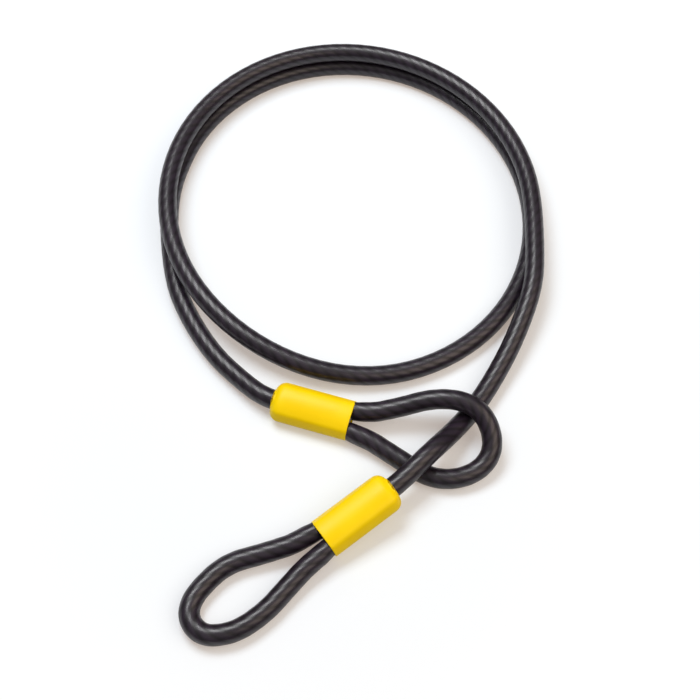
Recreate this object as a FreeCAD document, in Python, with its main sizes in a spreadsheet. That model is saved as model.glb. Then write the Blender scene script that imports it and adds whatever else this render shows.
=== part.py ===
"""Double-loop security cable, in millimetres.

A steel wire rope in a vinyl jacket, about 1.8 m long, lies on a surface in one and three
quarter turns. Each end is folded back into a loop, the eye, and closed by an aluminium
ferrule under a yellow plastic sleeve. End A is passed under and over the loop of end B.
+X is to the right and +Y away from the viewer. The origin is on the surface, in the middle
of the object's outline.
"""
import FreeCAD, Part
import Sketcher
import os
from math import atan2, ceil, cos, pi, radians, sin, sqrt, tan

doc = FreeCAD.newDocument("cable_lock")

# Driving dimensions
DIMENSIONS = [
    ("core_diameter", 2.2, "core strand in the middle of the rope"),
    ("core_gap", 0.05, "all round between core and outer strands"),
    ("strand_diameter", 2.05, "each strand of the rope's outer layer"),
    ("jacket_gap", 0.1, "all round between rope and jacket"),
    ("jacket_wall", 1.7, "vinyl jacket"),
    ("flat_depth", 0.5, "how far the lying jacket is pressed flat"),
    ("leg_gap", 0.5, "between the two jackets at a sleeve's mouth"),
    ("turn_gap", 0.55, "between the two turns of the coil"),
    ("ferrule_length", 20.0, "pressed aluminium ferrule"),
    ("ferrule_side_wall", 0.95, "outside each bore"),
    ("ferrule_recess", 1.0, "from the sleeve's mouth"),
    ("ferrule_chamfer", 0.4, "at both ends"),
    ("bore_gap", 0.05, "all round between rope and ferrule"),
    ("dead_end_proud", 1.0, "rope end past the ferrule"),
    ("step_after_ferrule", 4.5, "from the ferrule to where the live rope turns inwards"),
    ("step_length", 7.5, "in which the live rope comes to the sleeve's middle"),
    ("step_before_wall", 3.5, "from there to the sleeve's end wall"),
    ("tail_run", 5.0, "from the sleeve to the tail's first bend"),
    ("sleeve_fit", 0.1, "all round between ferrule and sleeve"),
    ("sleeve_wall", 0.8, "yellow sleeve, at its sides"),
    ("sleeve_crown", 0.3, "how far its top and underside swell past that wall"),
    ("sleeve_side_tuck", 0.8, "how much less its side rounding is than half its height"),
    ("sleeve_end_wall", 4.5, "at the tail end, along the cable"),
    ("collar_wall", 1.6, "at the tail end, above and below the cable"),
    ("cable_hole_gap", 0.2, "all round where the cable leaves the sleeve"),
    ("sleeve_shoulder", 5.2, "rounding at the tail end"),
    ("sleeve_lip", 0.4, "rounding at the mouth"),
    ("jacket_seat", 0.3, "from the sleeve's mouth to the loop's jacket"),
    ("mouth_a_x", -12.1, "middle of sleeve A's mouth"),
    ("mouth_a_y", -127.7, "middle of sleeve A's mouth"),
    ("mouth_a_lift", 1.2, "how far sleeve A's mouth is off the surface"),
    ("heading_angle_a", 216.0, "degrees, from the tail to loop A"),
    ("dip_angle_a", 8.0, "degrees that sleeve A slopes down to its loop"),
    ("mouth_b_x", 0.9, "middle of sleeve B's mouth"),
    ("mouth_b_y", -65.4, "middle of sleeve B's mouth"),
    ("heading_angle_b", -17.0, "degrees, from the tail to loop B"),
    ("lean_angle_b", 12.0, "degrees that sleeve B leans to the viewer, up to its climbing leg"),
    ("coil_near_x", 35.41, "end of the lower turn's oval that is beside the loops"),
    ("coil_near_y", -34.125, "end of the lower turn's oval that is beside the loops"),
    ("coil_long_half", 106.0, "oval of the coil, half its length"),
    ("coil_short_half", 99.3, "oval of the coil, half its width"),
    ("coil_turned_angle", 19.0, "degrees from +Y to the oval's length"),
    ("upper_turn_x", -0.8, "upper turn beside the lower one"),
    ("upper_turn_y", 1.3, "upper turn beside the lower one"),
    ("coil_first_angle", -5.0, "degrees, where the tail of end A joins"),
    ("coil_last_angle", 525.0, "degrees, where the tail of end B leaves"),
    ("descent_first_angle", 213.0, "degrees, where the cable leaves the upper turn"),
    ("descent_last_angle", 285.0, "degrees, where it lies on the surface"),
    ("coil_lead", 24.0, "straight run beside each end of the coil"),
    ("coil_straight_end", 10.0, "part of that run that belongs to the coil"),
]

sheet = doc.addObject("Spreadsheet::Sheet", "dims")
for row, (alias, value, note) in enumerate(DIMENSIONS, start=1):
    sheet.set("A%d" % row, alias.replace("_", " "))
    sheet.set("B%d" % row, str(value))
    sheet.setAlias("B%d" % row, alias)
    sheet.set("C%d" % row, note)
doc.recompute()


def size(alias):
    """The value of one driving dimension."""
    return float(sheet.get(alias))


# Sizes that follow from the driving ones, as the sheet's own sums
DERIVED = [
    ("core_bore", "=core_diameter + 2 * core_gap"),
    ("rope_diameter", "=core_bore + 2 * strand_diameter"),
    ("jacket_bore", "=rope_diameter + 2 * jacket_gap"),
    ("cable_diameter", "=jacket_bore + 2 * jacket_wall"),
    ("lying_height", "=cable_diameter / 2 - flat_depth"),
    ("turn_rise", "=cable_diameter + turn_gap"),
    ("leg_spacing", "=cable_diameter + leg_gap"),
    ("rope_bore", "=rope_diameter + 2 * bore_gap"),
    ("ferrule_width", "=leg_spacing + rope_bore + 2 * ferrule_side_wall"),
    ("ferrule_end", "=ferrule_recess + ferrule_length"),
    ("step_first", "=ferrule_end + step_after_ferrule"),
    ("step_last", "=step_first + step_length"),
    ("sleeve_length", "=step_last + step_before_wall + sleeve_end_wall"),
    ("cable_hole", "=cable_diameter + 2 * cable_hole_gap"),
    ("sleeve_height", "=cable_hole + 2 * collar_wall"),
    ("cavity_height", "=sleeve_height - 2 * sleeve_wall - 2 * sleeve_crown"),
    ("ferrule_height", "=cavity_height - 2 * sleeve_fit"),
    ("cavity_width", "=ferrule_width + 2 * sleeve_fit"),
    ("sleeve_width", "=cavity_width + 2 * sleeve_wall"),
    ("side_radius", "=sleeve_height / 2 - sleeve_side_tuck"),
    ("side_centres", "=sleeve_width - 2 * side_radius"),
    ("crown_radius", "=side_radius + sleeve_side_tuck / 2 + side_centres ^ 2 / (8 * sleeve_side_tuck)"),
    ("shoulder_radius", "=min(sleeve_shoulder; 0.9 * side_radius)"),
    ("lip_radius", "=min(sleeve_lip; 0.9 * sleeve_wall)"),
    ("chamfer_size", "=min(ferrule_chamfer; 0.9 * ferrule_side_wall)"),
    ("mouth_a_height", "=sleeve_height / 2 + mouth_a_lift"),
    ("mouth_b_height", "=crown_radius - (crown_radius - sleeve_height / 2) * cos(lean_angle_b)"),
    ("coil_x", "=coil_near_x - coil_long_half * sin(coil_turned_angle)"),
    ("coil_y", "=coil_near_y + coil_long_half * cos(coil_turned_angle)"),
]
for row, (alias, formula) in enumerate(DERIVED, start=len(DIMENSIONS) + 2):
    sheet.set("A%d" % row, alias.replace("_", " "))
    sheet.set("B%d" % row, formula)
    sheet.setAlias("B%d" % row, alias)
doc.recompute()

# Route of the cable by hand: x, y, and the height of its middle above where it lies flat
EYE_A = [
    (-40.1, -133.5, 0.1),
    (-58.1, -138.5, 0.0),
    (-70.6, -151.5, 0.0),
    (-74.2, -159.8, 0.0),
    (-73.1, -166.3, 0.0),
    (-68.6, -171.2, 0.0),
    (-62.2, -172.9, 0.0),
    (-50.6, -170.4, 0.0),
    (-38.2, -161.2, 0.0),
    (-29.6, -151.1, 0.3),
]
TAIL_A = [
    (39.9, -85.9, 11.7),
    (50.4, -73.4, 4.6),
    (61.4, -59.9, 0.8),
    (73.4, -41.9, 1.2),
    (85.4, -18.9, 4.6),
    (95.6, 9.1, 9.4),
]
TAIL_B = [
    (-95.1, 21.1, 0.0),
    (-84.6, -3.9, 0.0),
    (-70.1, -26.4, 0.0),
    (-54.6, -41.9, 0.6),
]
EYE_B = [
    (24.9, -59.9, 6.5),
    (40.9, -57.4, 11.6),
    (55.9, -58.9, 13.1),
    (65.9, -64.9, 11.5),
    (70.7, -74.9, 6.9),
    (69.9, -84.4, 3.1),
    (62.9, -91.9, 0.3),
    (50.9, -96.1, 0.0),
    (37.9, -94.4, 0.0),
    (22.4, -83.4, 0.0),
]
# How far past a sleeve's mouth each leg of a loop runs straight on
LEG_A_FAR = 9.5
LEG_A_NEAR = 14.0
LEG_B = 9.2
# Share of the shorter run beside a corner that the corner's arc takes
ARC_SHARE = 0.45
# Coil angle that one pair of arcs covers, at most
BIARC_ANGLE = 76.0
# Lengths that differ by less than this count as equal
SAME = 1e-4
# Step of the gap test, and how far apart along the cable two points count, in its diameters
SAMPLE_SHARE = 0.15
NEAR_SHARE = 4.0


def lifted(points):
    """The hand-chosen points as vectors, from the height at which the cable lies flat."""
    lying = size("lying_height")
    return [FreeCAD.Vector(x, y, lying + lift) for x, y, lift in points]


def unit(vector):
    """The vector at length one."""
    return vector * (1.0 / vector.Length)


def arc_edge(start, tangent, end):
    """The arc that leaves start along tangent and reaches end."""
    chord = end - start
    along = chord.dot(tangent)
    side = chord - tangent * along
    radius = chord.dot(chord) / (2.0 * side.Length)
    centre = start + unit(side) * radius
    half = atan2(side.Length, along)
    middle = centre + tangent * (radius * sin(half)) - unit(side) * (radius * cos(half))
    return Part.Arc(start, middle, end).toShape()


def rounded_runs(points):
    """Straight runs with a tangent arc at each inner point, as edges, and the arcs' radii."""
    edges = []
    radii = []
    start = points[0]
    for before, corner, after in zip(points[:-2], points[1:-1], points[2:]):
        arriving = unit(corner - before)
        leaving = unit(after - corner)
        turn = arriving.getAngle(leaving)
        reach = ARC_SHARE * min((corner - before).Length, (after - corner).Length)
        radii.append(reach / tan(turn / 2.0))
        first = corner - arriving * reach
        last = corner + leaving * reach
        edges.append(Part.LineSegment(start, first).toShape())
        edges.append(arc_edge(first, arriving, last))
        start = last
    edges.append(Part.LineSegment(start, points[-1]).toShape())
    return edges, radii


def sleeve_frame(letter):
    """Placement of a sleeve: origin in its mouth, X towards the loop, Y across the legs."""
    mouth = FreeCAD.Vector(*[size("mouth_%s_%s" % (letter, way)) for way in ("x", "y", "height")])
    dip = size("dip_angle_a") if letter == "a" else 0.0
    lean = size("lean_angle_b") if letter == "b" else 0.0
    return FreeCAD.Placement(mouth, FreeCAD.Rotation(size("heading_angle_%s" % letter), dip, lean))


def in_sleeve(letter, along, across):
    """A point of a sleeve's own frame, in the frame of the whole part."""
    return sleeve_frame(letter).multVec(FreeCAD.Vector(along, across, 0.0))


# The coil: an oval whose upper turn lies beside and on its lower one
def upper_share(angle):
    """One on the upper turn, nought on the lower one, smooth between."""
    first = size("descent_first_angle")
    last = size("descent_last_angle")
    part = min(max((angle - first) / (last - first), 0.0), 1.0)
    return 1.0 - part * part * (3.0 - 2.0 * part)


def coil_point(angle):
    """Middle of the cable at an angle of the coil, counted in degrees from +X."""
    turned = radians(size("coil_turned_angle"))
    swept = radians(angle - 90.0) - turned
    across = -size("coil_short_half") * sin(swept)
    along = size("coil_long_half") * cos(swept)
    upper = upper_share(angle)
    x = size("coil_x") + size("upper_turn_x") * upper + across * cos(turned) - along * sin(turned)
    y = size("coil_y") + size("upper_turn_y") * upper + across * sin(turned) + along * cos(turned)
    return FreeCAD.Vector(x, y, size("lying_height") + size("turn_rise") * upper)


def coil_tangent(angle):
    """Direction of the cable at an angle of the coil."""
    return unit(coil_point(angle + 0.5) - coil_point(angle - 0.5))


def biarc(start, start_tangent, end, end_tangent):
    """Two arcs from start to end that meet smoothly and hold both end directions."""
    chord = end - start
    both = start_tangent + end_tangent
    spread = 2.0 * (1.0 - start_tangent.dot(end_tangent))
    pull = chord.dot(both)
    reach = (sqrt(pull * pull + spread * chord.dot(chord)) - pull) / spread
    joint = (start + end + (start_tangent - end_tangent) * reach) * 0.5
    back = arc_edge(end, end_tangent * -1.0, joint)
    second = Part.Arc(joint, back.valueAt((back.FirstParameter + back.LastParameter) / 2.0), end)
    return [arc_edge(start, start_tangent, joint), second.toShape()]


def coil_edges():
    """The turns of the coil, two arcs to each stretch of about a quarter turn."""
    first = size("coil_first_angle")
    last = size("coil_last_angle")
    count = ceil((last - first) / BIARC_ANGLE)
    angles = [first + (last - first) * step / count for step in range(count + 1)]
    edges = []
    for a, b in zip(angles[:-1], angles[1:]):
        edges += biarc(coil_point(a), coil_tangent(a), coil_point(b), coil_tangent(b))
    return edges


# The whole line of the rope, from the dead end in ferrule A to the dead end in ferrule B
half_leg = size("leg_spacing") / 2.0
dead_end = size("ferrule_end") + size("dead_end_proud")
step_first = size("step_first")
step_last = size("step_last")
tail_corner = size("sleeve_length") + size("tail_run")

coil_start = coil_point(size("coil_first_angle"))
coil_start_way = coil_tangent(size("coil_first_angle"))
coil_end = coil_point(size("coil_last_angle"))
coil_end_way = coil_tangent(size("coil_last_angle"))

points_a = [in_sleeve("a", -dead_end, -half_leg), in_sleeve("a", LEG_A_FAR, -half_leg)]
points_a += lifted(EYE_A)
points_a += [in_sleeve("a", LEG_A_NEAR, half_leg), in_sleeve("a", -step_first, half_leg)]
points_a += [in_sleeve("a", -step_last, 0.0), in_sleeve("a", -tail_corner, 0.0)]
points_a += lifted(TAIL_A)
points_a += [coil_start - coil_start_way * size("coil_lead"), coil_start]

points_b = [coil_end, coil_end + coil_end_way * size("coil_lead")]
points_b += lifted(TAIL_B)
points_b += [in_sleeve("b", -tail_corner, 0.0), in_sleeve("b", -step_last, 0.0)]
points_b += [in_sleeve("b", -step_first, half_leg), in_sleeve("b", LEG_B, half_leg)]
points_b += lifted(EYE_B)
points_b += [in_sleeve("b", LEG_B, -half_leg), in_sleeve("b", -dead_end, -half_leg)]

edges_a, radii_a = rounded_runs(points_a)
edges_b, radii_b = rounded_runs(points_b)
turns = coil_edges()
whole_line = edges_a + turns + edges_b


def stretch(edges, first, last):
    """The edges from one point to another, both of them on straight runs."""
    part = []
    inside = False
    for edge in edges:
        start = edge.valueAt(edge.FirstParameter)
        end = edge.valueAt(edge.LastParameter)
        straight = isinstance(edge.Curve, Part.Line)
        opens = straight and edge.distToShape(Part.Vertex(first))[0] < SAME
        closes = straight and edge.distToShape(Part.Vertex(last))[0] < SAME
        if opens and not inside:
            inside = True
            edge = Part.LineSegment(first, end).toShape()
        elif closes and inside:
            part.append(Part.LineSegment(start, last).toShape())
            return part
        if inside:
            part.append(edge)
    raise ValueError("a stretch of the cable has no end on its line")


seat = size("jacket_seat")
step_middle_a = (in_sleeve("a", -step_first, half_leg) + in_sleeve("a", -step_last, 0.0)) * 0.5
step_middle_b = (in_sleeve("b", -step_first, half_leg) + in_sleeve("b", -step_last, 0.0)) * 0.5
coil_cut_a = coil_start - coil_start_way * size("coil_straight_end")
coil_cut_b = coil_end + coil_end_way * size("coil_straight_end")
LINES = {
    "rope": whole_line,
    "eye_a": stretch(edges_a, in_sleeve("a", seat, -half_leg), in_sleeve("a", seat, half_leg)),
    "tail_a": stretch(edges_a, step_middle_a, coil_cut_a),
    "coil": stretch(whole_line, coil_cut_a, coil_cut_b),
    "tail_b": stretch(edges_b, coil_cut_b, step_middle_b),
    "eye_b": stretch(edges_b, in_sleeve("b", seat, half_leg), in_sleeve("b", seat, -half_leg)),
}


# Tubes along the line
def line_object(name):
    """A stretch of the cable's middle line as an object."""
    line = doc.addObject("Part::Feature", "line_" + name)
    line.Shape = Part.Wire(LINES[name])
    return line


def swept(name, line, diameter):
    """A round rod of a sheet diameter along a line."""
    first = line.Shape.Edges[0]
    start = first.valueAt(first.FirstParameter)
    way = first.tangentAt(first.FirstParameter)
    circle = doc.addObject("Part::Circle", "circle_" + name)
    circle.setExpression("Radius", "dims.%s / 2" % diameter)
    circle.Placement = FreeCAD.Placement(start, FreeCAD.Rotation(FreeCAD.Vector(0, 0, 1), way))
    rod = doc.addObject("Part::Sweep", "sweep_" + name)
    rod.Sections = [circle]
    rod.Spine = (line, [])
    rod.Solid = True
    rod.Frenet = False
    return rod


def cut(name, base, tool):
    """One solid less another."""
    result = doc.addObject("Part::Cut", name)
    result.Base = base
    result.Tool = tool
    return result


def surface_under(name, line):
    """A block with its top in the surface, as wide as the tube that lies on it and deep enough."""
    box = line.Shape.BoundBox
    margin = size("cable_diameter")
    block = doc.addObject("Part::Box", "surface_" + name)
    block.Length = box.XLength + 2.0 * margin
    block.Width = box.YLength + 2.0 * margin
    block.setExpression("Height", "dims.cable_diameter")
    block.Placement.Base = FreeCAD.Vector(box.XMin - margin, box.YMin - margin, -margin)
    return block


sub_parts = []


def keep(feature, label):
    """Marks a finished sub-part and gives it the name that its file takes."""
    feature.Label = label
    sub_parts.append(feature)


def jacket(name, lies_flat):
    """A hollow vinyl tube along a stretch, pressed flat where it lies on the surface."""
    line = line_object(name)
    outer = swept(name + "_outer", line, "cable_diameter")
    inner = swept(name + "_bore", line, "jacket_bore")
    tube = cut("tube_" + name, outer, inner)
    if lies_flat:
        tube = cut("rested_" + name, tube, surface_under(name, line))
    keep(tube, "jacket_" + name)


rope_line = line_object("rope")
keep(swept("core", rope_line, "core_diameter"), "wire_rope_core")
strand_layer = swept("strands_outer", rope_line, "rope_diameter")
strand_bore = swept("strands_bore", rope_line, "core_bore")
keep(cut("strands", strand_layer, strand_bore), "wire_rope_strands")

jacket("eye_a", True)
jacket("tail_a", False)
jacket("coil", True)
jacket("tail_b", True)
jacket("eye_b", True)


# Sleeves and ferrules, drawn along X with the mouth at the origin
def plane_of(body, role):
    """One of a body's own origin planes."""
    for feature in body.Origin.OriginFeatures:
        if feature.Role == role:
            return feature
    raise ValueError(role)


def cross_sketch(body, name, offset):
    """An empty sketch square to X, offset from the mouth by a sheet formula."""
    sketch = body.newObject("Sketcher::SketchObject", name)
    sketch.AttachmentSupport = [(plane_of(body, "YZ_Plane"), "")]
    sketch.MapMode = "FlatFace"
    if offset:
        sketch.setExpression("AttachmentOffset.Base.z", offset)
    return sketch


def oval(sketch, width, height):
    """A flat-sided oval: two straight sides and two half circles, bound to the sheet."""
    up = FreeCAD.Vector(0, 0, 1)
    reach = (size(width) - size(height)) / 2.0
    radius = size(height) / 2.0
    right = Part.Circle(FreeCAD.Vector(reach, 0, 0), up, radius)
    left = Part.Circle(FreeCAD.Vector(-reach, 0, 0), up, radius)
    sketch.addGeometry(Part.ArcOfCircle(right, -pi / 2.0, pi / 2.0))
    sketch.addGeometry(Part.ArcOfCircle(left, pi / 2.0, 3.0 * pi / 2.0))
    top = [FreeCAD.Vector(reach, radius, 0), FreeCAD.Vector(-reach, radius, 0)]
    low = [FreeCAD.Vector(-reach, -radius, 0), FreeCAD.Vector(reach, -radius, 0)]
    sketch.addGeometry(Part.LineSegment(*top))
    sketch.addGeometry(Part.LineSegment(*low))
    sketch.addConstraint(Sketcher.Constraint("Tangent", 0, 2, 2, 1))
    sketch.addConstraint(Sketcher.Constraint("Tangent", 2, 2, 1, 1))
    sketch.addConstraint(Sketcher.Constraint("Tangent", 1, 2, 3, 1))
    sketch.addConstraint(Sketcher.Constraint("Tangent", 3, 2, 0, 1))
    sketch.addConstraint(Sketcher.Constraint("Horizontal", 2))
    sketch.addConstraint(Sketcher.Constraint("Symmetric", 0, 3, 1, 3, -1, 1))
    sketch.addConstraint(Sketcher.Constraint("PointOnObject", 0, 3, -1))
    half_height = sketch.addConstraint(Sketcher.Constraint("Radius", 0, radius))
    sketch.renameConstraint(half_height, "half_height")
    centres = sketch.addConstraint(Sketcher.Constraint("DistanceX", 1, 3, 0, 3, 2.0 * reach))
    sketch.renameConstraint(centres, "centres")
    sketch.setExpression("Constraints.half_height", "dims.%s / 2" % height)
    sketch.setExpression("Constraints.centres", "dims.%s - dims.%s" % (width, height))


def crowned_oval(sketch):
    """The sleeve's outline: two tight side arcs and two wide ones that swell a little."""
    up = FreeCAD.Vector(0, 0, 1)
    side = size("side_radius")
    crown = size("crown_radius")
    reach = size("side_centres") / 2.0
    drop = crown - size("sleeve_height") / 2.0
    lean = atan2(drop, reach)
    right = Part.Circle(FreeCAD.Vector(reach, 0, 0), up, side)
    left = Part.Circle(FreeCAD.Vector(-reach, 0, 0), up, side)
    top = Part.Circle(FreeCAD.Vector(0, -drop, 0), up, crown)
    low = Part.Circle(FreeCAD.Vector(0, drop, 0), up, crown)
    sketch.addGeometry(Part.ArcOfCircle(right, -lean, lean))
    sketch.addGeometry(Part.ArcOfCircle(top, lean, pi - lean))
    sketch.addGeometry(Part.ArcOfCircle(left, pi - lean, pi + lean))
    sketch.addGeometry(Part.ArcOfCircle(low, pi + lean, 2.0 * pi - lean))
    for arc, following in ((0, 1), (1, 2), (2, 3), (3, 0)):
        sketch.addConstraint(Sketcher.Constraint("Tangent", arc, 2, following, 1))
    sketch.addConstraint(Sketcher.Constraint("PointOnObject", 0, 3, -1))
    sketch.addConstraint(Sketcher.Constraint("Symmetric", 0, 3, 2, 3, -1, 1))
    sketch.addConstraint(Sketcher.Constraint("Equal", 0, 2))
    sketch.addConstraint(Sketcher.Constraint("Equal", 1, 3))
    rounding = sketch.addConstraint(Sketcher.Constraint("Radius", 0, side))
    sketch.renameConstraint(rounding, "side_radius")
    swell = sketch.addConstraint(Sketcher.Constraint("Radius", 1, crown))
    sketch.renameConstraint(swell, "crown_radius")
    centres = sketch.addConstraint(Sketcher.Constraint("DistanceX", 2, 3, 0, 3, 2.0 * reach))
    sketch.renameConstraint(centres, "side_centres")
    sketch.setExpression("Constraints.side_radius", "dims.side_radius")
    sketch.setExpression("Constraints.crown_radius", "dims.crown_radius")
    sketch.setExpression("Constraints.side_centres", "dims.side_centres")


def hole(sketch, name, across, diameter):
    """A circle of a sheet diameter, at a distance across the sketch."""
    centre = FreeCAD.Vector(across, 0, 0)
    index = sketch.addGeometry(Part.Circle(centre, FreeCAD.Vector(0, 0, 1), size(diameter) / 2.0))
    wide = sketch.addConstraint(Sketcher.Constraint("Diameter", index, size(diameter)))
    sketch.renameConstraint(wide, "diameter_" + name)
    sketch.setExpression("Constraints.diameter_" + name, "dims." + diameter)
    if across == 0.0:
        sketch.addConstraint(Sketcher.Constraint("Coincident", index, 3, -1, 1))
    else:
        sketch.addConstraint(Sketcher.Constraint("PointOnObject", index, 3, -1))
        place = sketch.addConstraint(Sketcher.Constraint("DistanceX", -1, 1, index, 3, across))
        sketch.renameConstraint(place, "place_" + name)
        sign = "" if across > 0.0 else "-"
        sketch.setExpression("Constraints.place_" + name, sign + "dims.leg_spacing / 2")


def edges_at(feature, station):
    """Names of a feature's edges that lie in the plane x = station."""
    names = []
    for number, edge in enumerate(feature.Shape.Edges, start=1):
        box = edge.BoundBox
        if abs(box.XMin - station) < SAME and abs(box.XMax - station) < SAME:
            names.append("Edge%d" % number)
    return names


def placed(body, letter):
    """Puts a body at its sleeve's mouth, bound to the sheet."""
    body.Placement = sleeve_frame(letter)
    for axis, way in (("x", "x"), ("y", "y"), ("z", "height")):
        body.setExpression("Placement.Base." + axis, "dims.mouth_%s_%s" % (letter, way))


def ferrule(letter):
    """Pressed aluminium oval with a bore for each leg of the rope."""
    body = doc.addObject("PartDesign::Body", "ferrule_body_" + letter)
    outline = cross_sketch(body, "ferrule_outline_" + letter, "-dims.ferrule_recess")
    oval(outline, "ferrule_width", "ferrule_height")
    hole(outline, "right", half_leg, "rope_bore")
    hole(outline, "left", -half_leg, "rope_bore")
    block = body.newObject("PartDesign::Pad", "ferrule_block_" + letter)
    block.Profile = outline
    block.setExpression("Length", "dims.ferrule_length")
    block.Reversed = True
    doc.recompute()
    rims = []
    for station in (-size("ferrule_recess"), -size("ferrule_end")):
        rims += [name for name in edges_at(block, station) if is_outer_rim(block, name)]
    bevel = body.newObject("PartDesign::Chamfer", "ferrule_bevel_" + letter)
    bevel.Base = (block, rims)
    bevel.setExpression("Size", "dims.chamfer_size")
    placed(body, letter)
    keep(body, "ferrule_" + letter)


def is_outer_rim(feature, name):
    """True for an edge that isn't a full circle, so not the rim of a bore."""
    edge = feature.Shape.getElement(name)
    return not edge.isClosed()


def sleeve(letter):
    """Yellow moulded cover: open at the mouth, closed round the cable at its tail end."""
    body = doc.addObject("PartDesign::Body", "sleeve_body_" + letter)
    outline = cross_sketch(body, "sleeve_outline_" + letter, None)
    crowned_oval(outline)
    block = body.newObject("PartDesign::Pad", "sleeve_block_" + letter)
    block.Profile = outline
    block.setExpression("Length", "dims.sleeve_length")
    block.Reversed = True
    doc.recompute()
    shoulder = body.newObject("PartDesign::Fillet", "sleeve_shoulder_" + letter)
    shoulder.Base = (block, edges_at(block, -size("sleeve_length")))
    shoulder.setExpression("Radius", "dims.shoulder_radius")
    doc.recompute()
    lip = body.newObject("PartDesign::Fillet", "sleeve_lip_" + letter)
    lip.Base = (shoulder, edges_at(shoulder, 0.0))
    lip.setExpression("Radius", "dims.lip_radius")
    room = cross_sketch(body, "cavity_outline_" + letter, None)
    oval(room, "cavity_width", "cavity_height")
    cavity = body.newObject("PartDesign::Pocket", "cavity_" + letter)
    cavity.Profile = room
    cavity.setExpression("Length", "dims.step_last + dims.step_before_wall")
    way_out = cross_sketch(body, "cable_hole_outline_" + letter, None)
    hole(way_out, "cable", 0.0, "cable_hole")
    passage = body.newObject("PartDesign::Pocket", "cable_hole_" + letter)
    passage.Profile = way_out
    passage.Type = "ThroughAll"
    placed(body, letter)
    keep(body, "sleeve_" + letter)


for end in ("a", "b"):
    ferrule(end)
    sleeve(end)
doc.recompute()

# What the checks before writing found
for feature in doc.Objects:
    if "Invalid" in feature.State or "Error" in feature.State:
        raise RuntimeError("%s didn't build" % feature.Name)
for feature in sub_parts:
    if feature.Shape.isNull() or not feature.Shape.isValid():
        raise RuntimeError("%s has no valid shape" % feature.Label)


def sampled(edges):
    """Points along a line, about one sample apart, each with its distance from the start."""
    samples = []
    travelled = 0.0
    for edge in edges:
        count = max(int(edge.Length / (SAMPLE_SHARE * size("cable_diameter"))), 1)
        for step in range(count):
            place = edge.getParameterByLength(edge.Length * step / count)
            samples.append((edge.valueAt(place), travelled + edge.Length * step / count))
        travelled += edge.Length
    return samples


def least_self_gap(edges):
    """Least room between two stretches of one jacket that are far apart along it."""
    samples = sampled(edges)
    near_along = NEAR_SHARE * size("cable_diameter")
    least = line_length(edges)
    for number, (point, station) in enumerate(samples):
        for other, further in samples[number + 1:]:
            if further - station > near_along:
                least = min(least, (point - other).Length)
    return least - size("cable_diameter")


def line_length(edges):
    """Length of a line along its runs and arcs."""
    return sum(edge.Length for edge in edges)


def ring_area(outer, inner):
    """Area of a round ring section."""
    return pi / 4.0 * (size(outer) ** 2 - size(inner) ** 2)


print("arc radii, end A:", [round(radius, 1) for radius in radii_a])
print("arc radii, coil:", [round(edge.Curve.Radius, 1) for edge in turns])
print("arc radii, end B:", [round(radius, 1) for radius in radii_b])
print("length of the whole line: %.1f mm" % line_length(whole_line))
print("least gap of the coil to itself: %.2f mm" % least_self_gap(LINES["coil"]))
print("least gap of the whole cable: %.2f mm" % least_self_gap(
    LINES["eye_a"] + LINES["tail_a"] + LINES["coil"] + LINES["tail_b"] + LINES["eye_b"]))
for name in ("eye_a", "tail_a", "coil", "tail_b", "eye_b"):
    tube = doc.getObject("tube_" + name).Shape
    expected = ring_area("cable_diameter", "jacket_bore") * line_length(LINES[name])
    print("%s: length %.1f mm, volume against section times length %.4f"
          % (name, line_length(LINES[name]), tube.Volume / expected))

os.makedirs("parts", exist_ok=True)
for feature in sub_parts:
    feature.Shape.exportStep(os.path.join("parts", feature.Label + ".step"))
    box = feature.Shape.BoundBox
    print("%-18s %9.1f mm3  x %.1f..%.1f  y %.1f..%.1f  z %.2f..%.2f" % (
        feature.Label, feature.Shape.Volume, box.XMin, box.XMax,
        box.YMin, box.YMax, box.ZMin, box.ZMax))
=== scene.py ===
from math import ceil, cos, pi, radians, sin

import bpy
import numpy as np
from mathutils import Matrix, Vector


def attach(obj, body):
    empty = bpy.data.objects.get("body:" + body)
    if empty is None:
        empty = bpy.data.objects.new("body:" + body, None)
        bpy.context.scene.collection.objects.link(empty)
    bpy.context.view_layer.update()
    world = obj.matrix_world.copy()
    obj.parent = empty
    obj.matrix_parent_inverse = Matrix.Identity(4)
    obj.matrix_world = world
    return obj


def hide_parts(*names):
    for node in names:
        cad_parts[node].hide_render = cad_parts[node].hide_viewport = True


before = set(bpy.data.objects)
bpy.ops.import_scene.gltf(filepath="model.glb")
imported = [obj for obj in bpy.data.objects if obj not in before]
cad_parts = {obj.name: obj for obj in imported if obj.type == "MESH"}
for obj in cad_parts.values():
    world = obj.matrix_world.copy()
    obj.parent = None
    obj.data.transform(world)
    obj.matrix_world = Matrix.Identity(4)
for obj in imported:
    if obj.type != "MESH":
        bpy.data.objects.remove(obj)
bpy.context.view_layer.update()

# The view
# A product photograph taken from in front and well above, with a short telephoto lens that is
# aimed near the middle of the coiled cable's outline.
LENS = 59.4
LOOKS_DOWN = radians(61.0)
AIM = Vector((0.0004, -0.0209, 0.0))
DISTANCE = 0.605

view = bpy.data.objects.new("view", bpy.data.cameras.new("view"))
view.data.lens = LENS
view.location = AIM + Vector((0.0, -cos(LOOKS_DOWN), sin(LOOKS_DOWN))) * DISTANCE
view.rotation_euler = (pi / 2.0 - LOOKS_DOWN, 0.0, 0.0)
bpy.context.scene.collection.objects.link(view)
bpy.context.scene.camera = view

# The cable's route
# One steel cable runs from the end held in ferrule A, round loop A, through sleeve A, one and a
# half times round the coil, into sleeve B and round loop B to the end in ferrule B. All of it
# lies on the surface or on itself.
SLEEVE_LENGTH = 0.041

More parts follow.
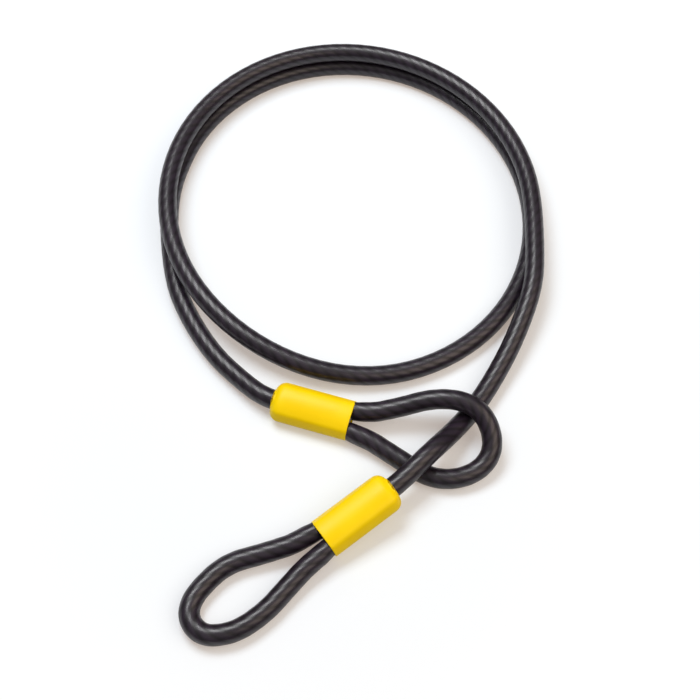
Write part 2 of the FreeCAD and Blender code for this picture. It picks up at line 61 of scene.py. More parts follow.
# The route's corners at a sleeve. LEG and LEG_CORNER lie across from the sleeve's middle, the
# others along it from its mouth, with more than 0 towards the loop.
LEG = 0.00525
LEG_CORNER = 0.0049
LEG_A_FAR = 0.0065
LEG_A_NEAR = 0.0105
LEG_B_FAR = 0.0050
LEG_B_NEAR = 0.0055
DEAD_END = -0.022
STEP_FIRST = -0.0255
STEP_LAST = -0.033
TAIL_CORNER = -0.046

# The route's corners on both loops and on the free tails, chosen along the photographed
# cable. LYING is the height of the cable's middle where it lies on the surface.
LYING = 0.0045
EYE_A = [
    (-0.0401, -0.1335, 0.0046),
    (-0.0581, -0.1385, 0.0045),
    (-0.0706, -0.1515, 0.0045),
    (-0.0742, -0.1598, 0.0045),
    (-0.0731, -0.1663, 0.0045),
    (-0.0686, -0.1712, 0.0045),
    (-0.0622, -0.1729, 0.0045),
    (-0.0506, -0.1704, 0.0045),
    (-0.0382, -0.1612, 0.0045),
    (-0.0296, -0.1511, 0.0048),
]
TAIL_A = [
    (0.0399, -0.0859, 0.0162),
    (0.0504, -0.0734, 0.0091),
    (0.0614, -0.0599, 0.0053),
    (0.0734, -0.0419, 0.0057),
    (0.0860, -0.0189, 0.0091),
    (0.0970, 0.0091, 0.0139),
]
TAIL_B = [
    (-0.0951, 0.0211, 0.0045),
    (-0.0846, -0.0039, 0.0045),
    (-0.0701, -0.0264, 0.0045),
    (-0.0546, -0.0419, 0.0051),
]
EYE_B = [
    (0.0249, -0.0599, 0.0110),
    (0.0409, -0.0574, 0.0161),
    (0.0559, -0.0589, 0.0176),
    (0.0659, -0.0649, 0.0160),
    (0.0707, -0.0749, 0.0114),
    (0.0699, -0.0844, 0.0076),
    (0.0629, -0.0919, 0.0048),
    (0.0509, -0.0961, 0.0045),
    (0.0379, -0.0944, 0.0045),
    (0.0224, -0.0834, 0.0045),
]


def sleeve_place(mouth, heading, dip, lean):
    """Middle of a sleeve's mouth, and its directions as rows: to the loop, to the left and up.
    lean turns it about its own length, left side up."""
    to_loop = np.array([cos(heading) * cos(dip), sin(heading) * cos(dip), -sin(dip)])
    level = np.array([-sin(heading), cos(heading), 0.0])
    top = np.cross(to_loop, level)
    left = cos(lean) * level + sin(lean) * top
    return np.array(mouth), np.array([to_loop, left, np.cross(to_loop, left)])


PLACE_A = sleeve_place(
    mouth=(-0.0121, -0.1277, 0.0080), heading=radians(216.0), dip=radians(8.0), lean=0.0)
PLACE_B = sleeve_place(
    mouth=(0.0009, -0.0654, 0.00705), heading=radians(-17.0), dip=0.0, lean=radians(12.0))


def in_sleeve(place, along, across):
    """A point given along a sleeve from its mouth and across to the left."""
    mouth, ways = place
    return mouth + along * ways[0] + across * ways[1]


# The coil, an oval turned anticlockwise. Its upper turn comes first and lies a little beside the
# lower one. A place on it is an angle in degrees, anticlockwise from the right.
COIL_MIDDLE = (0.0009, 0.0661)
COIL_LONG_HALF = 0.106
COIL_SHORT_HALF = 0.0993
COIL_TURNED = radians(19.0)
UPPER_TURN_BESIDE = (-0.0008, 0.0013)
TURN_RISE = 0.01055
COIL_FIRST = -5.0
COIL_LAST = 525.0
DESCENT_FIRST = 213.0
DESCENT_LAST = 285.0
COIL_LEAD = 0.024
COIL_POINTS = 36
COIL_START_BESIDE = (0.0012, 0.0, 0.0)


def coil_point(angle, out=1.0):
    """The coil at an angle in degrees: a turned oval, which sinks from the upper turn to the
    lower one along a smooth step. out pushes the point away from the middle."""
    swept = radians(angle - 90.0) - COIL_TURNED
    across = -COIL_SHORT_HALF * sin(swept) * out
    along = COIL_LONG_HALF * cos(swept) * out
    sunk = min(max((angle - DESCENT_FIRST) / (DESCENT_LAST - DESCENT_FIRST), 0.0), 1.0)
    upper = 1.0 - sunk * sunk * (3.0 - 2.0 * sunk)
    x = COIL_MIDDLE[0] + UPPER_TURN_BESIDE[0] * upper
    y = COIL_MIDDLE[1] + UPPER_TURN_BESIDE[1] * upper
    x += across * cos(COIL_TURNED) - along * sin(COIL_TURNED)
    y += across * sin(COIL_TURNED) + along * cos(COIL_TURNED)
    return np.array([x, y, LYING + TURN_RISE * upper])


def coil_lead(angle, ahead):
    """A point straight before or after the coil, along its direction at an angle."""
    way = coil_point(angle + 0.5) - coil_point(angle - 0.5)
    return coil_point(angle) + way / np.linalg.norm(way) * ahead


coil_step = (COIL_LAST - COIL_FIRST) / COIL_POINTS
corner_out = 1.0 / cos(radians(coil_step / 2.0))
route = [in_sleeve(PLACE_A, DEAD_END, -LEG), in_sleeve(PLACE_A, LEG_A_FAR, -LEG_CORNER)]
route += EYE_A
route += [in_sleeve(PLACE_A, LEG_A_NEAR, LEG_CORNER), in_sleeve(PLACE_A, STEP_FIRST, LEG)]
route += [in_sleeve(PLACE_A, STEP_LAST, 0.0), in_sleeve(PLACE_A, TAIL_CORNER, 0.0)]
route += TAIL_A
route.append(coil_lead(COIL_FIRST, -COIL_LEAD) + np.array(COIL_START_BESIDE))
for number in range(COIL_POINTS):
    route.append(coil_point(COIL_FIRST + (number + 0.5) * coil_step, corner_out))
route.append(coil_lead(COIL_LAST, COIL_LEAD))
route += TAIL_B
route += [in_sleeve(PLACE_B, TAIL_CORNER, 0.0), in_sleeve(PLACE_B, STEP_LAST, 0.0)]
route += [in_sleeve(PLACE_B, STEP_FIRST, LEG), in_sleeve(PLACE_B, LEG_B_FAR, LEG_CORNER)]
route += EYE_B
route += [in_sleeve(PLACE_B, LEG_B_NEAR, -LEG_CORNER), in_sleeve(PLACE_B, DEAD_END, -LEG)]


LINE_RESOLUTION = 64
LINE_ORDER = 3


def smooth_line(points):
    """The points of a NURBS spline whose control points these are."""
    curve = bpy.data.curves.new("route", "CURVE")
    curve.dimensions = "3D"
    curve.resolution_u = LINE_RESOLUTION
    spline = curve.splines.new("NURBS")
    spline.points.add(len(points) - 1)
    spline.points.foreach_set("co", np.column_stack([points, np.ones(len(points))]).ravel())
    spline.order_u = LINE_ORDER
    spline.use_endpoint_u = True
    mesh = bpy.data.meshes.new_from_object(bpy.data.objects.new("route", curve))
    line = np.empty(len(mesh.vertices) * 3)
    mesh.vertices.foreach_get("co", line)
    bpy.data.meshes.remove(mesh)
    bpy.data.curves.remove(curve)
    return line.reshape(-1, 3)


def travelled(line):
    """How far along a line each of its points is."""
    return np.append(0.0, np.linalg.norm(np.diff(line, axis=0), axis=1).cumsum())


def unit(vectors):
    """The vectors at length one."""
    return vectors / np.linalg.norm(vectors, axis=-1, keepdims=True)


route_line = smooth_line(route)
route_at = travelled(route_line)


def station(point):
    """Distance along the route at which it passes a point."""
    near = np.linalg.norm(route_line - point, axis=1).argmin()
    ahead = unit(route_line[near + 1] - route_line[max(near - 1, 0)])
    return route_at[near] + (np.array(point) - route_line[near]) @ ahead


def stretch(first, last, step):
    """Distances along the route from one to another, and the points there."""
    at = np.linspace(first, last, ceil((last - first) / step) + 1)
    return at, np.column_stack([np.interp(at, route_at, route_line[:, axis]) for axis in range(3)])


def directions(line):
    """Three unit vectors at each point of a line: ahead, level to the left, and square to both."""
    ahead = unit(np.gradient(line, axis=0))
    left = unit(np.cross((0.0, 0.0, 1.0), ahead))
    return ahead, left, np.cross(ahead, left)


# The jackets
# Smoky black vinyl, extruded over the wire rope and 1.7 mm thick. The rope's six strands press
# faint ridges into it. It is stripped off inside the sleeves, where the ferrules grip the rope,
# and its underside is slightly flat where it lies on the surface.
CABLE_RADIUS = 0.005
BORE_RADIUS = 0.0033
LAY_LENGTH = 0.042
STRANDS = 6
RIDGE = 0.00003
END_ROUNDING = 0.0004
SIDES = 40
OUTER_STEP = 0.00095
INNER_STEP = 0.004
SQUEEZE_LENGTH = 0.008
SQUEEZE_DEPTH = 0.0008


def ring_mesh(name, rings, along, closed):
    """Mesh of rings of points, n by m by 3: a face between each four neighbours. Rings are
    closed round m. closed joins the last ring to the first, otherwise both ends get a cap.
    Map lay holds along, one number to a ring, and the share of the way round."""
    count, sides = rings.shape[:2]
    rows = np.arange(count if closed else count - 1)[:, None]
    places = np.arange(sides)[None, :]
    after = (rows + 1) % count
    beside = (places + 1) % sides
    corners = [rows * sides + places, rows * sides + beside, after * sides + beside, after * sides + places]
    faces = np.stack(corners, axis=-1).reshape(-1, 4)
    marks = np.append(along, along[0]) if closed else along
    u = np.stack([marks[rows], marks[rows], marks[rows + 1], marks[rows + 1]], axis=-1)
    u = np.broadcast_to(u, (len(rows), sides, 4))
    v = np.stack([places, places + 1, places + 1, places], axis=-1) / sides
    v = np.broadcast_to(v, (len(rows), sides, 4))
    polygons = faces.tolist()
    chart = np.stack([u, v], axis=-1).reshape(-1, 2)
    if not closed:
        polygons.append(list(range(sides - 1, -1, -1)))
        polygons.append(list(range((count - 1) * sides, count * sides)))
        round_way = np.arange(sides)[::-1] / sides
        chart = np.concatenate([
            chart,
            np.column_stack([np.full(sides, along[0]), round_way]),
            np.column_stack([np.full(sides, along[-1]), round_way[::-1]]),
        ])
    mesh = bpy.data.meshes.new(name)
    mesh.from_pydata(rings.reshape(-1, 3), [], polygons)
    mesh.uv_layers.new(name="lay").data.foreach_set("uv", chart.ravel())
    mesh.polygons.foreach_set("use_smooth", np.ones(len(polygons), bool))
    return mesh


def piece(name, mesh, *materials):
    """An object of the mesh at the origin, with its materials, riding on the part's one body."""
    made = bpy.data.objects.new(name, mesh)
    bpy.context.scene.collection.objects.link(made)
    for material in materials:
        mesh.materials.append(material)
    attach(made, "root")
    return made


def around(line, radius, turn):
    """Rings round a line: each point is radius away from it, at angle turn from its left side
    over its top. radius is n by m, turn m long."""
    left, up = directions(line)[1:]
    out = np.cos(turn)[None, :, None] * left[:, None] + np.sin(turn)[None, :, None] * up[:, None]
    return line[:, None] + radius[..., None] * out


def jacket(name, from_point, to_point, outward=0.0):
    """A hollow tube along the route, and the line that it follows. Its outside swells by RIDGE
    times the cosine of six times the angle less the rope's turning, its ends are rounded, and
    what would lie under the surface is pressed flat. outward is +1 or -1 for the side, left or
    right of the line, that a sleeve's mouth squeezes."""
    first = station(from_point)
    last = station(to_point)
    turn = np.arange(SIDES) * 2.0 * pi / SIDES
    at, line = stretch(first, last, OUTER_STEP)
    wave = STRANDS * (turn[None, :] - 2.0 * pi * at[:, None] / LAY_LENGTH)
    to_end = np.minimum(at - at[0], at[-1] - at)[:, None]
    rounding = np.clip(1.0 - to_end / END_ROUNDING, 0.0, 1.0)
    radius = CABLE_RADIUS + RIDGE * np.cos(wave)
    radius = radius - END_ROUNDING * (1.0 - np.sqrt(1.0 - rounding**2))
    if outward:
        squeezed = np.clip(1.0 - to_end / SQUEEZE_LENGTH, 0.0, 1.0)
        squeezed = squeezed**2 * (3.0 - 2.0 * squeezed)
        side = np.clip(outward * np.cos(turn), 0.0, 1.0)[None, :] ** 2
        radius = radius - SQUEEZE_DEPTH * squeezed * side
    outer = around(line, radius, turn)
    outer[..., 2] = np.maximum(outer[..., 2], 0.0)
    back_at, back_line = stretch(first, last, INNER_STEP)
    inner = around(back_line, np.full((len(back_line), SIDES), BORE_RADIUS), turn)[::-1]
    rings = np.concatenate([outer, inner])
    along = np.concatenate([at, back_at[::-1]]) / LAY_LENGTH
    made = piece(name, ring_mesh(name, rings, along, closed=True), smoky_vinyl)
    return made, line.tolist()


def node(tree, kind, inputs=None, **settings):
    """A new node of a tree. inputs gives sockets, by name or number, a value or a link."""
    made = tree.nodes.new(kind)
    for name, value in settings.items():
        setattr(made, name, value)
    for socket, value in (inputs or {}).items():
        if isinstance(value, bpy.types.NodeSocket):
            tree.links.new(value, made.inputs[socket])
        else:
            made.inputs[socket].default_value = value
    return made


def maths(tree, operation, *values):
    """The output of a Math node."""
    return node(tree, "ShaderNodeMath", dict(enumerate(values)), operation=operation).outputs[0]


def blend(tree, share, dark, bright):
    """The output of a colour Mix node between two colours."""
    inputs = {"Factor": share, "A": dark, "B": bright}
    return node(tree, "ShaderNodeMix", inputs, data_type="RGBA").outputs["Result"]


def spread_of(tree, value, low, high, to_low, to_high):
    """The output of a smooth Map Range node."""
    inputs = {"Value": value, "From Min": low, "From Max": high, "To Min": to_low, "To Max": to_high}
    return node(tree, "ShaderNodeMapRange", inputs, interpolation_type="SMOOTHSTEP").outputs[0]


def group(name, inputs, outputs):
    """A new shader node group with float or vector inputs, and its two end nodes."""
    tree = bpy.data.node_groups.new(name, "ShaderNodeTree")
    for label, kind, value in inputs:
        socket = tree.interface.new_socket(label, in_out="INPUT", socket_type=kind)
        if value is not None:
            socket.default_value = value
    for label, kind in outputs:
        tree.interface.new_socket(label, in_out="OUTPUT", socket_type=kind)
    return tree, tree.nodes.new("NodeGroupInput"), tree.nodes.new("NodeGroupOutput")


def placed_group(tree, of, inputs):
    """A node that uses a group in a material."""
    made = node(tree, "ShaderNodeGroup", node_tree=of)
    for socket, value in inputs.items():
        if isinstance(value, bpy.types.NodeSocket):
            tree.links.new(value, made.inputs[socket])
        else:
            made.inputs[socket].default_value = value
    return made


def material(name, **shader):
    """A node material, its tree and its Principled shader with constants on its own sockets."""
    made = bpy.data.materials.new(name)
    made.use_nodes = True
    principled = made.node_tree.nodes["Principled BSDF"]
    for socket, value in shader.items():
        principled.inputs[socket.replace("_", " ")].default_value = value
    return made, made.node_tree, principled


# How strands or wires show on a round surface, from its lay map
strand_marks, given, result = group(
    "strand_marks",
    [("Lay", "NodeSocketVector", None), ("Count", "NodeSocketFloat", 6.0),
     ("Turning", "NodeSocketFloat", 1.0), ("Softness", "NodeSocketFloat", 0.7)],
    [("Crest", "NodeSocketFloat")],
)
parts = node(strand_marks, "ShaderNodeSeparateXYZ", {0: given.outputs["Lay"]})
turned = maths(strand_marks, "MULTIPLY", parts.outputs["X"], given.outputs["Turning"])
phase = maths(strand_marks, "SUBTRACT", parts.outputs["Y"], turned)
phase = maths(strand_marks, "FRACT", maths(strand_marks, "MULTIPLY", phase, given.outputs["Count"]))
far = maths(strand_marks, "ABSOLUTE", maths(strand_marks, "SUBTRACT", phase, 0.5))
far = maths(strand_marks, "MULTIPLY", far, 2.0)
crest = node(strand_marks, "ShaderNodeMapRange",
             {"Value": far, "From Max": given.outputs["Softness"]}, interpolation_type="SMOOTHSTEP")
strand_marks.links.new(crest.outputs[0], result.inputs["Crest"])

# Fine scratches and the smears of handling
handling, given, result = group(
    "handling",
    [("Scale", "NodeSocketFloat", 60.0)],
    [("Smear", "NodeSocketFloat"), ("Scratch", "NodeSocketFloat")],
)
where = node(handling, "ShaderNodeTexCoord").outputs["Object"]
cloud = node(handling, "ShaderNodeTexNoise",
             {"Vector": where, "Scale": given.outputs["Scale"], "Detail": 4.0})
smear = spread_of(handling, cloud.outputs["Fac"], 0.35, 0.7, 0.0, 1.0)
stretched = node(handling, "ShaderNodeMapping", {"Vector": where, "Rotation": (0.3, 0.2, 0.9),
                                                 "Scale": (1.0, 14.0, 6.0)})
fine = maths(handling, "MULTIPLY", given.outputs["Scale"], 5.0)
lines = node(handling, "ShaderNodeTexNoise",
             {"Vector": stretched.outputs[0], "Scale": fine, "Detail": 2.0, "Distortion": 0.4})
scratch = spread_of(handling, lines.outputs["Fac"], 0.66, 0.74, 0.0, 1.0)
handling.links.new(smear, result.inputs["Smear"])
handling.links.new(scratch, result.inputs["Scratch"])

# Smoky vinyl: a little lighter and smoother over each strand, whose wires show faintly
WIRES_SEEN = 34.0
WIRES_TURNING = -0.35
BETWEEN_STRANDS = (0.0040, 0.0012, 0.0042, 1.0)
OVER_STRANDS = (0.0250, 0.0165, 0.0280, 1.0)

smoky_vinyl, tree, shader = material("smoky_vinyl", IOR=1.5)
lay = node(tree, "ShaderNodeUVMap", uv_map="lay").outputs[0]
strands = placed_group(
    tree, strand_marks, {"Lay": lay, "Count": float(STRANDS), "Turning": 1.0, "Softness": 0.75})
wires = placed_group(
    tree, strand_marks,
    {"Lay": lay, "Count": WIRES_SEEN, "Turning": WIRES_TURNING, "Softness": 1.0})
touched = placed_group(tree, handling, {"Scale": 45.0})
fine_wires = spread_of(tree, wires.outputs["Crest"], 0.0, 1.0, 0.75, 1.0)
smeared = spread_of(tree, touched.outputs["Smear"], 0.0, 1.0, 0.6, 1.0)
lit = maths(tree, "MULTIPLY", maths(tree, "MULTIPLY", strands.outputs["Crest"], fine_wires), smeared)
colour = blend(tree, lit, BETWEEN_STRANDS, OVER_STRANDS)
tree.links.new(colour, shader.inputs["Base Color"])
rough = maths(tree, "ADD", spread_of(tree, lit, 0.0, 1.0, 0.38, 0.25),
             maths(tree, "MULTIPLY", touched.outputs["Smear"], 0.06))
tree.links.new(rough, shader.inputs["Roughness"])
grain = node(tree, "ShaderNodeTexNoise",
             {"Vector": node(tree, "ShaderNodeTexCoord").outputs["Object"], "Scale": 900.0, "Detail": 3.0})
height = maths(tree, "ADD", maths(tree, "MULTIPLY", grain.outputs["Fac"], 0.25),
              maths(tree, "MULTIPLY", strands.outputs["Crest"], 0.6))
relief = node(tree, "ShaderNodeBump", {"Height": height, "Strength": 0.26, "Distance": 0.0001})
tree.links.new(relief.outputs[0], shader.inputs["Normal"])

MOUTH_DEPTH = -0.0009
STEP_MIDDLE = (STEP_FIRST + STEP_LAST) / 2.0
loop_a_jacket, loop_a_line = jacket(
    "loop_a_jacket",
    in_sleeve(PLACE_A, MOUTH_DEPTH, -LEG),
    in_sleeve(PLACE_A, MOUTH_DEPTH, LEG),
    outward=-1.0,
)
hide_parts("jacket_eye_a")
main_jacket, main_line = jacket(
    "main_jacket",
    in_sleeve(PLACE_A, STEP_MIDDLE, LEG / 2.0),
    in_sleeve(PLACE_B, STEP_MIDDLE, LEG / 2.0),
)
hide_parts("jacket_tail_a", "jacket_coil", "jacket_tail_b")
loop_b_jacket, loop_b_line = jacket(
    "loop_b_jacket",
    in_sleeve(PLACE_B, MOUTH_DEPTH, LEG),
    in_sleeve(PLACE_B, MOUTH_DEPTH, -LEG),
    outward=1.0,
)
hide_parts("jacket_eye_b")

# The wire rope
# Galvanised steel inside the jackets: a core strand and six strands laid round it to the
# right. It is bare only inside the sleeves, where the ferrules grip it.
CORE_RADIUS = 0.0011
STRAND_RADIUS = 0.00102
STRAND_CENTRES = 0.002175
ROPE_STEP = 0.0021
STRAND_SIDES = 10
CORE_SIDES = 16
WIRES_ON_STRAND = 6.0
WIRE_TWIST = -2.5
# Painted shade: the grooves between a strand's wires are coloured dark; ZINC is the wires' own colour.
SHADE_BETWEEN_WIRES = (0.10, 0.10, 0.105, 1.0)
ZINC = (0.52, 0.52, 0.54, 1.0)

galvanised_steel, tree, shader = material("galvanised_steel", Metallic=1.0)
lay = node(tree, "ShaderNodeUVMap", uv_map="lay").outputs[0]
wires = placed_group(
    tree, strand_marks,
    {"Lay": lay, "Count": WIRES_ON_STRAND, "Turning": WIRE_TWIST, "Softness": 0.5})
touched = placed_group(tree, handling, {"Scale": 90.0})
# Painted shade: darker in the grooves between the wires, the zinc's own colour on their crests.
colour = blend(tree, wires.outputs["Crest"], SHADE_BETWEEN_WIRES, ZINC)
tree.links.new(colour, shader.inputs["Base Color"])
rough = spread_of(tree, touched.outputs["Smear"], 0.0, 1.0, 0.3, 0.5)
tree.links.new(rough, shader.inputs["Roughness"])
relief = node(tree, "ShaderNodeBump",
              {"Height": wires.outputs["Crest"], "Strength": 0.8, "Distance": 0.0001})
tree.links.new(relief.outputs[0], shader.inputs["Normal"])

rope_at, rope_line = stretch(0.0, route_at[-1], ROPE_STEP)
turn = np.arange(CORE_SIDES) * 2.0 * pi / CORE_SIDES
rings = around(rope_line, np.full((len(rope_line), CORE_SIDES), CORE_RADIUS), turn)
rope_core = piece("rope_core", ring_mesh("rope_core", rings, rope_at / LAY_LENGTH, closed=False),
                  galvanised_steel)
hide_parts("wire_rope_core")

left, up = directions(rope_line)[1:]
turn = np.arange(STRAND_SIDES) * 2.0 * pi / STRAND_SIDES
for number in range(STRANDS):
    angle = 2.0 * pi * (rope_at / LAY_LENGTH + number / STRANDS)
    centre = rope_line + STRAND_CENTRES * (np.cos(angle)[:, None] * left + np.sin(angle)[:, None] * up)
    rings = around(centre, np.full((len(centre), STRAND_SIDES), STRAND_RADIUS), turn)
    name = "rope_strand_%d" % (number + 1)
    strand = piece(name, ring_mesh(name, rings, rope_at / LAY_LENGTH, closed=False), galvanised_steel)
    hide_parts("wire_rope_strands")

# The ferrules
# Two ovals of soft aluminium, pressed over both legs of the bare rope. They are the frame's
# own solids, which get the dull, slightly smeared finish of pressed metal here.
DULL_ALUMINIUM = (0.40, 0.41, 0.42, 1.0)
RUBBED_ALUMINIUM = (0.62, 0.63, 0.64, 1.0)

pressed_aluminium, tree, shader = material("pressed_aluminium", Metallic=1.0)
touched = placed_group(tree, handling, {"Scale": 120.0})
colour = blend(tree, touched.outputs["Smear"], DULL_ALUMINIUM, RUBBED_ALUMINIUM)
tree.links.new(colour, shader.inputs["Base Color"])
rough = spread_of(tree, touched.outputs["Smear"], 0.0, 1.0, 0.5, 0.35)
tree.links.new(rough, shader.inputs["Roughness"])
relief = node(tree, "ShaderNodeBump",
              {"Height": touched.outputs["Scratch"], "Strength": 0.4, "Distance": 0.00005})
tree.links.new(relief.outputs[0], shader.inputs["Normal"])
for name in ("ferrule_a", "ferrule_b"):
    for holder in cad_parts[name].material_slots:
        holder.material = pressed_aluminium

# The sleeves
# Yellow plastic covers, injection moulded, pushed over the ferrules from the cable's side. The
# section is a crowned oval with slight flats, the tail end is rounded in to the cable, and the
# mouth is open.
SLEEVE_WIDTH = 0.0207
SLEEVE_HEIGHT = 0.0136
SIDE_TUCK = 0.0008
SHOULDER = 0.0052
LIP = 0.0004
CAVITY_WIDTH = 0.0191
CAVITY_HEIGHT = 0.0114
CAVITY_TUCK = 0.00005
CAVITY_DEPTH = 0.0365
HOLE_RADIUS = 0.0052
PART_LINE = 0.00005
FLATTENED = 0.068
SIDE_SHARES = np.array([
    -1.0, -0.92, -0.84, -0.76, -0.68, -0.6, -0.5, -0.4, -0.3, -0.2, -0.12, -0.06, -0.025,
    0.0, 0.025, 0.06, 0.12, 0.2, 0.3, 0.4, 0.5, 0.6, 0.68, 0.76, 0.84, 0.92,
])
CROWN_RUNS = 24
EDGE_RINGS = 9
BODY_RINGS = 24
HOLE_RINGS = 5
CAVITY_RINGS = 6
DEEP_YELLOW = (0.935, 0.625, 0.0004, 1.0)
LIGHT_YELLOW = (0.955, 0.660, 0.0008, 1.0)


def crowned_oval(width, height, tuck, flattened, inset):
    """Outlines made of four arcs: two tight ones at the sides and two wide ones over and under,
    which share their end directions. tuck is how much smaller the side radius is than half the
    height; flattened is the share by which each quarter's middle is drawn in, which leaves a
    flat there; inset draws each outline in evenly. Result: one outline per inset, as y and z.
    A side arc has its points at SIDE_SHARES of its half, closest together at the part line."""
    side = height / 2.0 - tuck
    apart = width / 2.0 - side
    crown = side + tuck / 2.0 + apart * apart / (2.0 * tuck)
    drop = crown - height / 2.0
    lean = np.arctan2(drop, apart)
    tight = SIDE_SHARES * lean
    wide = np.linspace(lean, pi - lean, CROWN_RUNS + 1)[:-1]
    turn = np.concatenate([tight, wide, pi + tight, pi + wide])
    counts = [len(tight), len(wide)] * 2
    centre_y = np.repeat([apart, 0.0, -apart, 0.0], counts)
    centre_z = np.repeat([0.0, -drop, 0.0, drop], counts)
    reach = np.repeat([side, crown, side, crown], counts)
    hollow = np.sin(pi * SIDE_SHARES) ** 2
    drawn_in = np.concatenate([hollow, 0.0 * wide, hollow, 0.0 * wide])
    reach = (reach[None, :] - inset[:, None]) * (1.0 - flattened * drawn_in)
    return np.stack([centre_y + reach * np.cos(turn), centre_z + reach * np.sin(turn)], axis=-1)


yellow_plastic, tree, shader = material("yellow_plastic", IOR=1.5, Specular_IOR_Level=0.16)
touched = placed_group(tree, handling, {"Scale": 55.0})
colour = blend(tree, touched.outputs["Smear"], DEEP_YELLOW, LIGHT_YELLOW)
tree.links.new(colour, shader.inputs["Base Color"])
rough = maths(tree, "ADD", spread_of(tree, touched.outputs["Smear"], 0.0, 1.0, 0.30, 0.38),
             maths(tree, "MULTIPLY", touched.outputs["Scratch"], 0.12))
tree.links.new(rough, shader.inputs["Roughness"])
skin = node(tree, "ShaderNodeTexNoise",
            {"Vector": node(tree, "ShaderNodeTexCoord").outputs["Object"], "Scale": 700.0, "Detail": 2.0})
height = maths(tree, "SUBTRACT", maths(tree, "MULTIPLY", skin.outputs["Fac"], 0.3),
              maths(tree, "MULTIPLY", touched.outputs["Scratch"], 0.5))
relief = node(tree, "ShaderNodeBump", {"Height": height, "Strength": 0.25, "Distance": 0.00005})
tree.links.new(relief.outputs[0], shader.inputs["Normal"])


def sleeve(name, place, replaced):
    """A closed shell of rings: out of the mouth, over the outside, in over the rounded tail end,
    through the cable's hole and along the cavity back to the mouth. Both rounded edges go by
    the sine and cosine of a quarter turn."""
    quarter = np.linspace(0.0, pi / 2.0, EDGE_RINGS)
    shoulder_start = SHOULDER - SLEEVE_LENGTH
    body_x = np.linspace(-LIP, shoulder_start, BODY_RINGS)[1:-1]
    lip_x = LIP * (np.cos(quarter) - 1.0)
    shoulder_x = shoulder_start - SHOULDER * np.sin(quarter)
    lip_inset = LIP * (1.0 - np.sin(quarter))
    shoulder_inset = SHOULDER * (1.0 - np.cos(quarter))
    inset = np.concatenate([lip_inset, 0.0 * body_x, shoulder_inset])
    outside = crowned_oval(SLEEVE_WIDTH, SLEEVE_HEIGHT, SIDE_TUCK, FLATTENED, inset)
    full = outside[EDGE_RINGS]
    ridge = np.isclose(full[:, 1], 0.0, atol=1e-7)
    outside[EDGE_RINGS:-EDGE_RINGS, ridge, 0] += PART_LINE * np.sign(full[ridge, 0])
    round_way = np.arctan2(full[:, 1], full[:, 0])
    hole = HOLE_RADIUS * np.stack([np.cos(round_way), np.sin(round_way)], axis=-1)
    to_middle = np.linalg.norm(outside, axis=-1, keepdims=True)
    outside = np.where(to_middle < HOLE_RADIUS, hole[None], outside)
    cavity = crowned_oval(CAVITY_WIDTH, CAVITY_HEIGHT, CAVITY_TUCK, 0.0, np.zeros(CAVITY_RINGS))
    hole_x = np.linspace(-SLEEVE_LENGTH, -CAVITY_DEPTH, HOLE_RINGS)
    cavity_x = np.linspace(-CAVITY_DEPTH, 0.0, CAVITY_RINGS)
    sections = np.concatenate([outside, np.repeat(hole[None], HOLE_RINGS, axis=0), cavity])
    along = np.concatenate([lip_x, body_x, shoulder_x, hole_x, cavity_x])
    mouth, ways = place
    rings = mouth + along[:, None, None] * ways[0] + sections @ ways[1:]
    mesh = ring_mesh(name, rings[::-1], along[::-1] / LAY_LENGTH, closed=True)
    made = piece(name, mesh, yellow_plastic)
    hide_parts(replaced)


sleeve("yellow_sleeve_a", PLACE_A, "sleeve_a")
sleeve("yellow_sleeve_b", PLACE_B, "sleeve_b")

# The studio
# White paper under two soft boxes: the main one behind the coil and a little to the left, a
# weaker and warmer one in front on the right. Where the paper is seen, straight or reflected,
# it also glows, and more so farther out, so that it stays white.
FLOOR_HALF = 3.0
FLOOR_BELOW = 0.0001
PAPER_COLOUR = (0.535, 0.625, 0.71, 1.0)
PAPER_GLOW = (1.0, 0.82, 0.69, 1.0)
ROOM_WHITE = (1.0, 1.0, 1.0, 1.0)

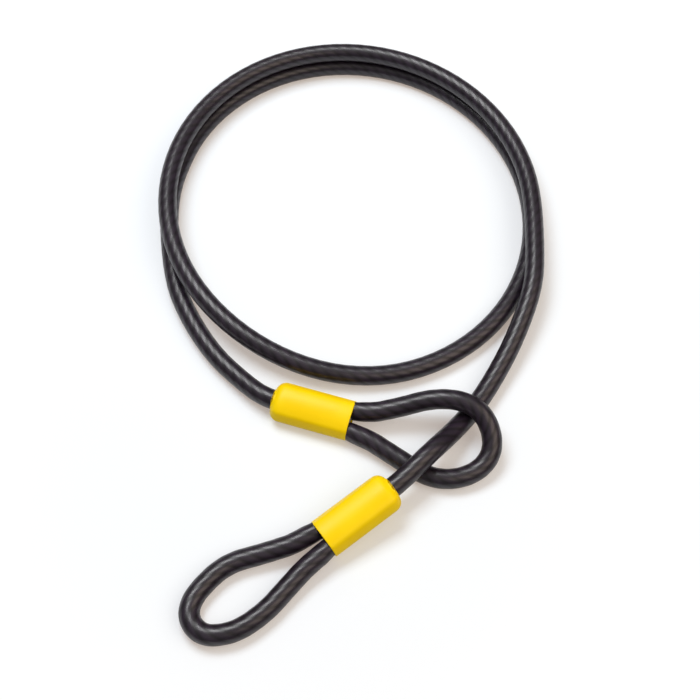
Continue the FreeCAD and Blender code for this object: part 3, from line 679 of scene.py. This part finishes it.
floor_mesh = bpy.data.meshes.new("paper")
floor_corners = [
    (-FLOOR_HALF, -FLOOR_HALF, -FLOOR_BELOW),
    (FLOOR_HALF, -FLOOR_HALF, -FLOOR_BELOW),
    (FLOOR_HALF, FLOOR_HALF, -FLOOR_BELOW),
    (-FLOOR_HALF, FLOOR_HALF, -FLOOR_BELOW),
]
floor_mesh.from_pydata(floor_corners, [], [(0, 1, 2, 3)])
paper = bpy.data.objects.new("paper", floor_mesh)
bpy.context.scene.collection.objects.link(paper)
white_paper, tree, shader = material(
    "white_paper", Roughness=0.9, Base_Color=PAPER_COLOUR, Emission_Color=PAPER_GLOW)
rays = node(tree, "ShaderNodeLightPath").outputs
mirrored = maths(tree, "MAXIMUM", rays["Is Glossy Ray"], rays["Is Transmission Ray"])
seen = maths(tree, "MAXIMUM", rays["Is Camera Ray"], mirrored)
spot = node(tree, "ShaderNodeTexCoord").outputs["Object"]
from_middle = node(tree, "ShaderNodeVectorMath", {0: spot}, operation="LENGTH").outputs["Value"]
glow = spread_of(tree, from_middle, 0.12, 0.9, 0.36, 1.5)
tree.links.new(maths(tree, "MULTIPLY", seen, glow), shader.inputs["Emission Strength"])
floor_mesh.materials.append(white_paper)

world = bpy.data.worlds.new("studio")
world.use_nodes = True
bpy.context.scene.world = world
tree = world.node_tree
rays = node(tree, "ShaderNodeLightPath").outputs
seen = maths(tree, "MAXIMUM", rays["Is Camera Ray"], rays["Is Transmission Ray"])
way = node(tree, "ShaderNodeSeparateXYZ", {0: node(tree, "ShaderNodeTexCoord").outputs["Generated"]})
overhead = spread_of(tree, way.outputs["Z"], 0.1, 0.9, 0.05, 0.45)
room_light = tree.nodes["Background"]
room_light.inputs["Color"].default_value = ROOM_WHITE
tree.links.new(maths(tree, "MAXIMUM", overhead, seen), room_light.inputs["Strength"])


def soft_box(name, place, wide, deep, power, colour):
    """An area lamp of that size in metres and power in watts, aimed at the frame's middle."""
    lamp = bpy.data.lights.new(name, "AREA")
    lamp.shape = "RECTANGLE"
    lamp.size = wide
    lamp.size_y = deep
    lamp.energy = power
    lamp.color = colour
    made = bpy.data.objects.new(name, lamp)
    made.location = place
    made.rotation_euler = (-Vector(place)).to_track_quat("-Z", "Y").to_euler()
    bpy.context.scene.collection.objects.link(made)


soft_box("over_the_coil", place=(-0.26, 0.34, 0.93), wide=0.62, deep=0.4,
         power=7.8, colour=(0.98, 1.0, 1.0))
soft_box("from_the_right", place=(0.50, -0.24, 0.66), wide=0.8, deep=0.6,
         power=3.0, colour=(1.0, 0.82, 0.64))

bpy.context.scene.view_settings.view_transform = "Standard"
